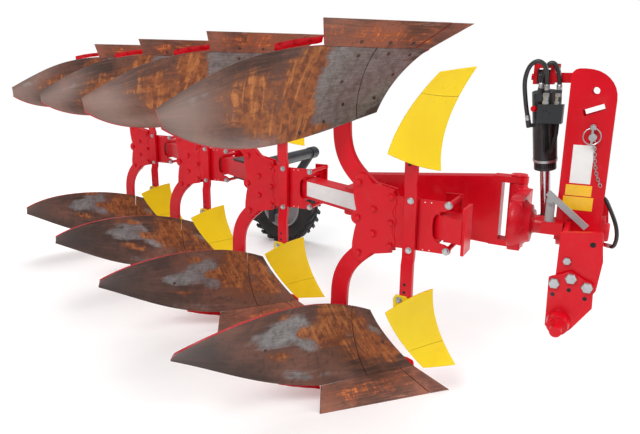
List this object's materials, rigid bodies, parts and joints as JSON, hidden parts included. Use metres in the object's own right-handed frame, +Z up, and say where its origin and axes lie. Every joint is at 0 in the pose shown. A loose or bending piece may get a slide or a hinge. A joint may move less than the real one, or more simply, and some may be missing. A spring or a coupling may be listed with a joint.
{
  "type": "mounted reversible mouldboard plough",
  "caption": "Mounted reversible mouldboard plough with paired lower and upper bodies on a diagonal beam, skimmers, turnover headstock and swinging depth wheel",
  "frame": {"origin": "on the ground under the middle of the bounding box", "axes": "+X is the direction of travel, +Y the unploughed side with the depth wheel, +Z up"},
  "size_m": [4.4852, 2.975, 1.76],
  "materials": {
    "red_paint": "glossy red paint with light wear",
    "red_casting_paint": "red paint on cast surfaces",
    "yellow_paint": "bright yellow paint",
    "rusted_steel": "ground steel with orange and brown surface rust",
    "ground_steel": "share steel with brown surface rust",
    "anthracite_paint": "semi-matt anthracite paint",
    "zinced_steel": "zinc plated",
    "chromed_rod": "hard chrome",
    "tyre_rubber": "black tyre rubber",
    "grey_paint": "light grey paint",
    "hose_rubber": "black hydraulic hose"
  },
  "bodies": {
    "headstock_body": {"headstock": "red_paint", "top_link_pin": "zinced_steel", "lower_link_pin_right": "red_paint", "lower_link_pin_left": "red_paint", "housing_hose": "hose_rubber", "tilt_spindle": "zinced_steel"},
    "plough_frame": {"main_beam": "red_paint", "front_arm": "red_paint", "kingpin": "red_casting_paint", "swing_yoke": "red_casting_paint", "wheel_carrier": "anthracite_paint", "leg_clamp_1": "red_paint", "leg_lower_1": "red_paint", "moldboard_lower_1": "rusted_steel", "share_lower_1": "ground_steel", "skimmer_lower_1": "yellow_paint", "leg_upper_1": "red_paint", "moldboard_upper_1": "rusted_steel", "share_upper_1": "ground_steel", "skimmer_upper_1": "yellow_paint", "leg_clamp_2": "red_paint", "leg_lower_2": "red_paint", "moldboard_lower_2": "rusted_steel", "share_lower_2": "ground_steel", "skimmer_lower_2": "yellow_paint", "leg_upper_2": "red_paint", "moldboard_upper_2": "rusted_steel", "share_upper_2": "ground_steel", "skimmer_upper_2": "yellow_paint", "leg_clamp_3": "red_paint", "leg_lower_3": "red_paint", "moldboard_lower_3": "rusted_steel", "share_lower_3": "ground_steel", "skimmer_lower_3": "yellow_paint", "leg_upper_3": "red_paint", "moldboard_upper_3": "rusted_steel", "share_upper_3": "ground_steel", "skimmer_upper_3": "yellow_paint", "leg_clamp_4": "red_paint", "leg_lower_4": "red_paint", "moldboard_lower_4": "rusted_steel", "share_lower_4": "ground_steel", "skimmer_lower_4": "yellow_paint", "leg_upper_4": "red_paint", "moldboard_upper_4": "rusted_steel", "share_upper_4": "ground_steel", "skimmer_upper_4": "yellow_paint"},
    "cylinder": {"cylinder_barrel": "anthracite_paint", "valve_block": "anthracite_paint", "cylinder_hose_left": "hose_rubber", "cylinder_hose_right": "hose_rubber"},
    "cylinder_rod_body": {"cylinder_rod": "chromed_rod"},
    "wheel_arm_body": {"wheel_arm": "anthracite_paint"},
    "wheel": {"wheel_tyre": "tyre_rubber", "wheel_rim": "grey_paint"}
  },
  "joints": [
    {"name": "turnover", "type": "hinge", "parent": "headstock_body", "child": "plough_frame", "pos_m": [1.99438, -0.3925, 0.88], "axis": [1, 0, 0], "range_deg": [0, 180]},
    {"name": "wheel_arm_swing", "type": "hinge", "parent": "plough_frame", "child": "wheel_arm_body", "pos_m": [-0.13762, 1.2025, 0.88], "axis": [0, 1, 0], "range_deg": [0, 110.2]},
    {"name": "wheel_spin", "type": "hinge", "parent": "wheel_arm_body", "child": "wheel", "pos_m": [-0.51762, 1.3875, 0.335], "axis": [0, 1, 0], "continuous": true},
    {"name": "cylinder_swing", "type": "hinge", "parent": "headstock_body", "child": "cylinder", "pos_m": [1.87238, -0.3925, 1.538], "axis": [0.9939, 0.1106, 0], "range_deg": [-16.4, 0]},
    {"name": "rod_slide", "type": "slide", "parent": "cylinder", "child": "cylinder_rod_body", "axis": [0.0821, 0.1716, -0.9817], "range_m": [-0.21646, 0]}
  ],
  "couplings": [
    {"joint": "cylinder_swing", "follows": "turnover", "ratio": -0.0911},
    {"joint": "rod_slide", "follows": "turnover", "m_per_rad": -0.0689}
  ]
}
